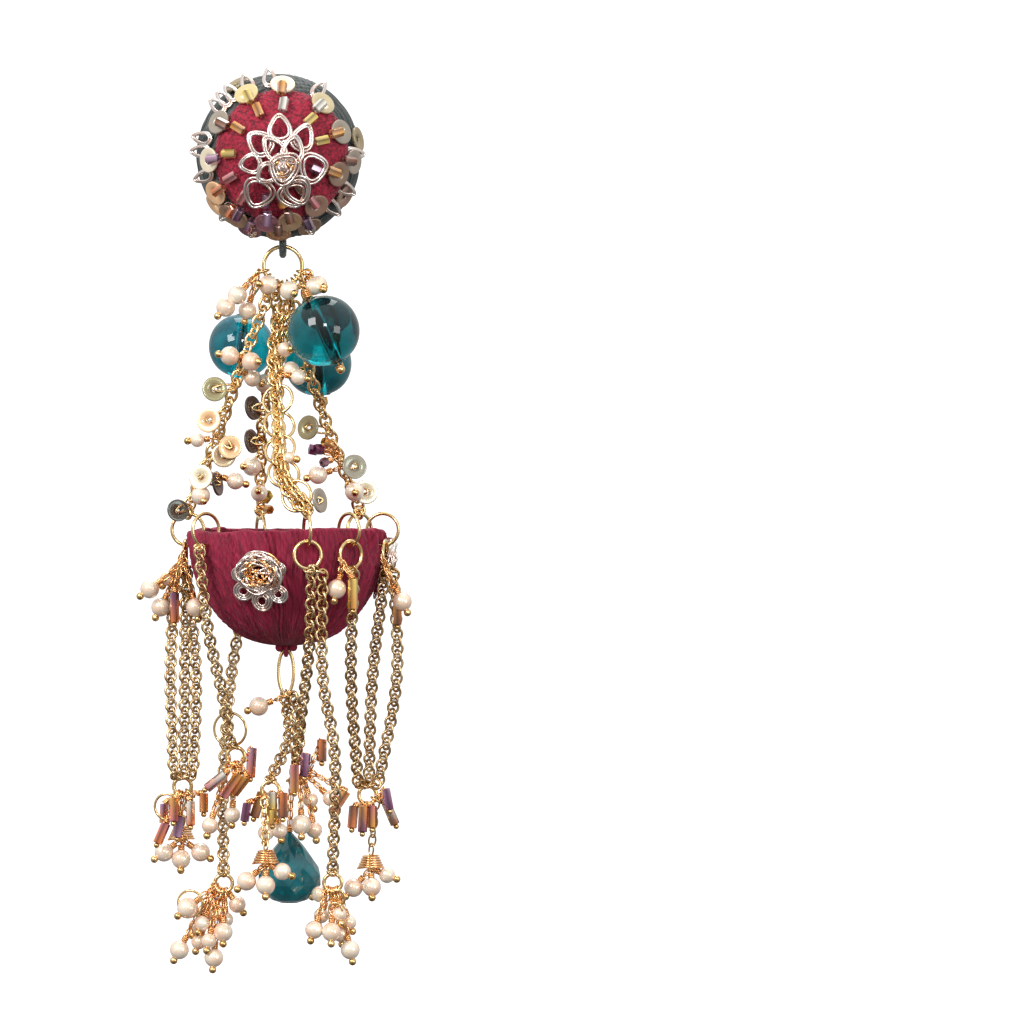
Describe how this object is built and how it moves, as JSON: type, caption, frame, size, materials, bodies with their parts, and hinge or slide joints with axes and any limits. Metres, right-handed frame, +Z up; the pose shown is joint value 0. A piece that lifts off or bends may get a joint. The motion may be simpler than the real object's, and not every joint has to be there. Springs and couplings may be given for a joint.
{
  "type": "chandelier earring",
  "caption": "Chandelier earring with a round velvet stud, chains of beads, a silk-wound bowl and fringes of chain that end in pearls and a cut glass drop.",
  "frame": {"origin": "foot of the ear post, on the face that rests against the ear lobe", "axes": "+X to the right as the viewer sees the earring, -Y towards the viewer, +Z up; the post points along +Y"},
  "size_m": [0.034, 0.0296, 0.1118],
  "materials": {
    "gold_wire": "polished gold plate, a little tarnished",
    "antique_chain": "antique gold chain with dark recesses",
    "silver_wire": "silver wire with a faint rose tone",
    "green_thread": "wound dark green and grey thread",
    "crimson_velvet": "granular crimson velvet with sequins and bugle beads on it",
    "maroon_silk": "wound maroon silk thread, slightly shiny",
    "teal_glass": "clear deep teal glass",
    "pearl": "cream glass pearl on copper-gold wire",
    "amber_glass": "amber, orange and purple lined bugle beads on gold wire"
  },
  "bodies": {
    "stud": {"ear_post": "gold_wire", "stud_dome": "green_thread", "stud_face": "crimson_velvet", "stud_flower": "silver_wire", "thread_loop": "green_thread"},
    "ring": {"top_ring": "gold_wire"},
    "drop": {"base_pearl": "pearl", "base_ring": "gold_wire", "bowl_flower_front": "silver_wire", "bowl_flower_right": "silver_wire", "briolette": "teal_glass", "chain_front": "gold_wire", "chain_left": "gold_wire", "chain_rear": "gold_wire", "chain_right": "gold_wire", "pearl_spray_front": "pearl", "pearl_spray_left": "pearl", "pearls_cap": "pearl", "pearls_left": "pearl", "pearls_right": "pearl", "rim_drops_front": "pearl", "rim_drops_front_right": "pearl", "rim_drops_left": "pearl", "rim_drops_rear": "pearl", "rim_drops_right": "pearl", "rim_ring_front": "gold_wire", "rim_ring_front_left": "gold_wire", "rim_ring_front_right": "gold_wire", "rim_ring_left": "gold_wire", "rim_ring_rear": "gold_wire", "rim_ring_rear_right": "gold_wire", "rim_ring_right": "gold_wire", "silk_bowl": "maroon_silk", "strand_base_left": "antique_chain", "strand_base_right": "antique_chain", "strand_front_left": "antique_chain", "strand_front_long": "antique_chain", "strand_front_right": "antique_chain", "strand_left_inner": "antique_chain", "strand_left_middle": "antique_chain", "strand_left_outer": "antique_chain", "strand_left_swag": "antique_chain", "strand_rear_long": "antique_chain", "strand_right_inner": "antique_chain", "strand_right_outer": "antique_chain", "tassel_centre": "amber_glass", "tassel_inner": "amber_glass", "tassel_left": "amber_glass", "tassel_low_left": "pearl", "tassel_low_right": "pearl", "tassel_mid": "amber_glass", "tassel_right": "amber_glass", "teal_bead_front": "teal_glass", "teal_bead_left": "teal_glass", "teal_bead_rear": "teal_glass", "teal_pin_front": "gold_wire", "teal_pin_left": "gold_wire", "teal_pin_rear": "gold_wire"}
  },
  "joints": [
    {"name": "ring_tilt", "type": "hinge", "parent": "stud", "child": "ring", "pos_m": [0.0006, -0.0045, -0.01142], "axis": [1, 0, 0], "range_deg": [-30, 30]},
    {"name": "drop_swing", "type": "hinge", "parent": "ring", "child": "drop", "pos_m": [0.0006, -0.0045, -0.01382], "axis": [0, 1, 0], "range_deg": [-35, 35]}
  ]
}
